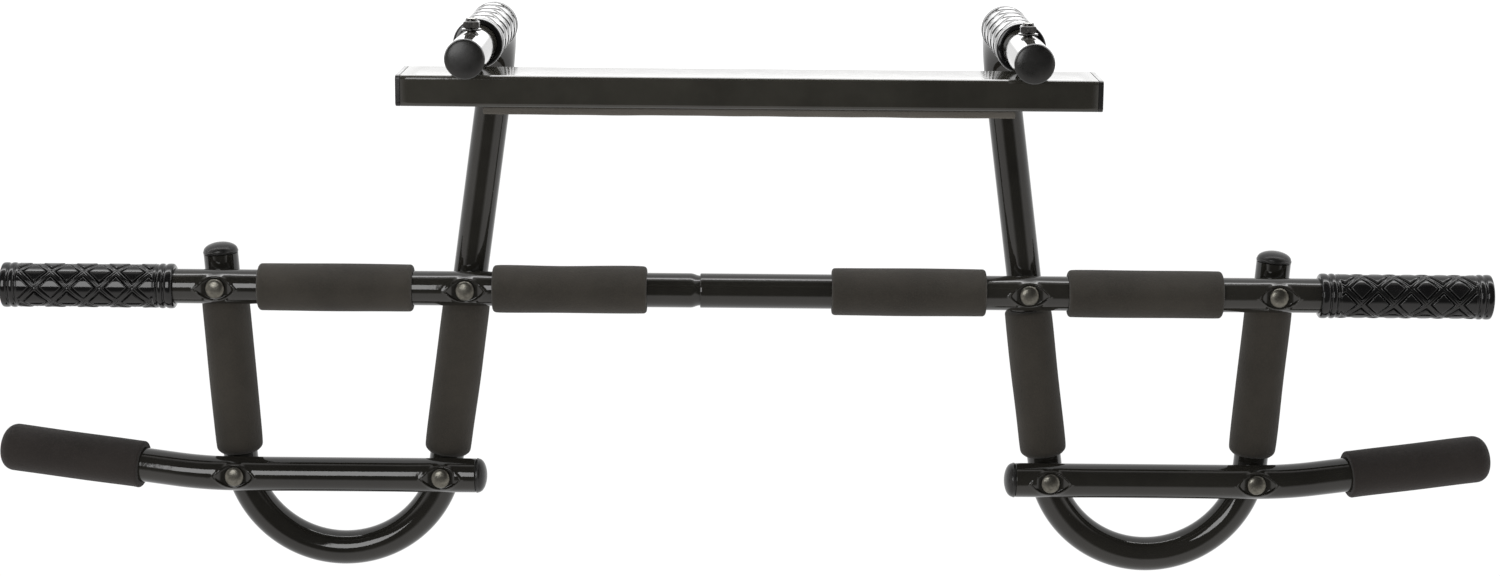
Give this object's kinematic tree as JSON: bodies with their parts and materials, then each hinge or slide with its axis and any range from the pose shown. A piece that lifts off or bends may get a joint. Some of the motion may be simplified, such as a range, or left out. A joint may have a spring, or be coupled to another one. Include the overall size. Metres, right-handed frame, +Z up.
{
  "type": "doorway pull-up bar",
  "caption": "Doorway pull-up bar: long main bar on bent frame tubes with raised arms, a padded door beam, lower side bars, and foam and rubber grips.",
  "frame": {"origin": "Middle of the bounding box's underside: the object lies on its leg foams, which touch Z = 0, and X = 0 is its mirror plane.", "axes": "+X runs along the main bar, +Y from the grip bars toward the door beam and the arms, +Z up along the arms."},
  "size_m": [1.0978, 0.4325, 0.3082],
  "materials": {
    "gloss_paint": "gloss black paint over steel tube",
    "foam": "matt closed-cell foam, charcoal",
    "rubber": "satin black rubber with a diamond relief",
    "plastic": "satin black moulded plugs",
    "zinc_steel": "zinc-plated steel fasteners",
    "eva": "matt soft sheet foam"
  },
  "bodies": {
    "root": {"arm_grip_left": "rubber", "arm_grip_right": "rubber", "arm_plug_left": "plastic", "arm_plug_right": "plastic", "bar_foam_centre_left": "foam", "bar_foam_centre_right": "foam", "bar_foam_side_left": "foam", "bar_foam_side_right": "foam", "beam_bolt_left": "zinc_steel", "beam_bolt_right": "zinc_steel", "beam_nut_left": "zinc_steel", "beam_nut_right": "zinc_steel", "beam_plug_left": "plastic", "beam_plug_right": "plastic", "beam_washer_left": "zinc_steel", "beam_washer_right": "zinc_steel", "bolt_lower_inner_left": "zinc_steel", "bolt_lower_inner_right": "zinc_steel", "bolt_lower_outer_left": "zinc_steel", "bolt_lower_outer_right": "zinc_steel", "bolt_main_inner_left": "zinc_steel", "bolt_main_inner_right": "zinc_steel", "bolt_main_outer_left": "zinc_steel", "bolt_main_outer_right": "zinc_steel", "door_beam": "gloss_paint", "end_grip_left": "rubber", "end_grip_right": "rubber", "frame_tube_left": "gloss_paint", "frame_tube_right": "gloss_paint", "leg_foam_inner_left": "foam", "leg_foam_inner_right": "foam", "leg_foam_outer_left": "foam", "leg_foam_outer_right": "foam", "leg_plug_left": "plastic", "leg_plug_right": "plastic", "lower_bar_left": "gloss_paint", "lower_bar_right": "gloss_paint", "lower_foam_left": "foam", "lower_foam_right": "foam", "lower_plug_left": "plastic", "lower_plug_right": "plastic", "main_bar_left": "gloss_paint", "main_bar_right": "gloss_paint", "nut_lower_inner_left": "zinc_steel", "nut_lower_inner_right": "zinc_steel", "nut_lower_outer_left": "zinc_steel", "nut_lower_outer_right": "zinc_steel", "nut_main_inner_left": "zinc_steel", "nut_main_inner_right": "zinc_steel", "nut_main_outer_left": "zinc_steel", "nut_main_outer_right": "zinc_steel", "wall_pad": "eva"}
  },
  "joints": []
}
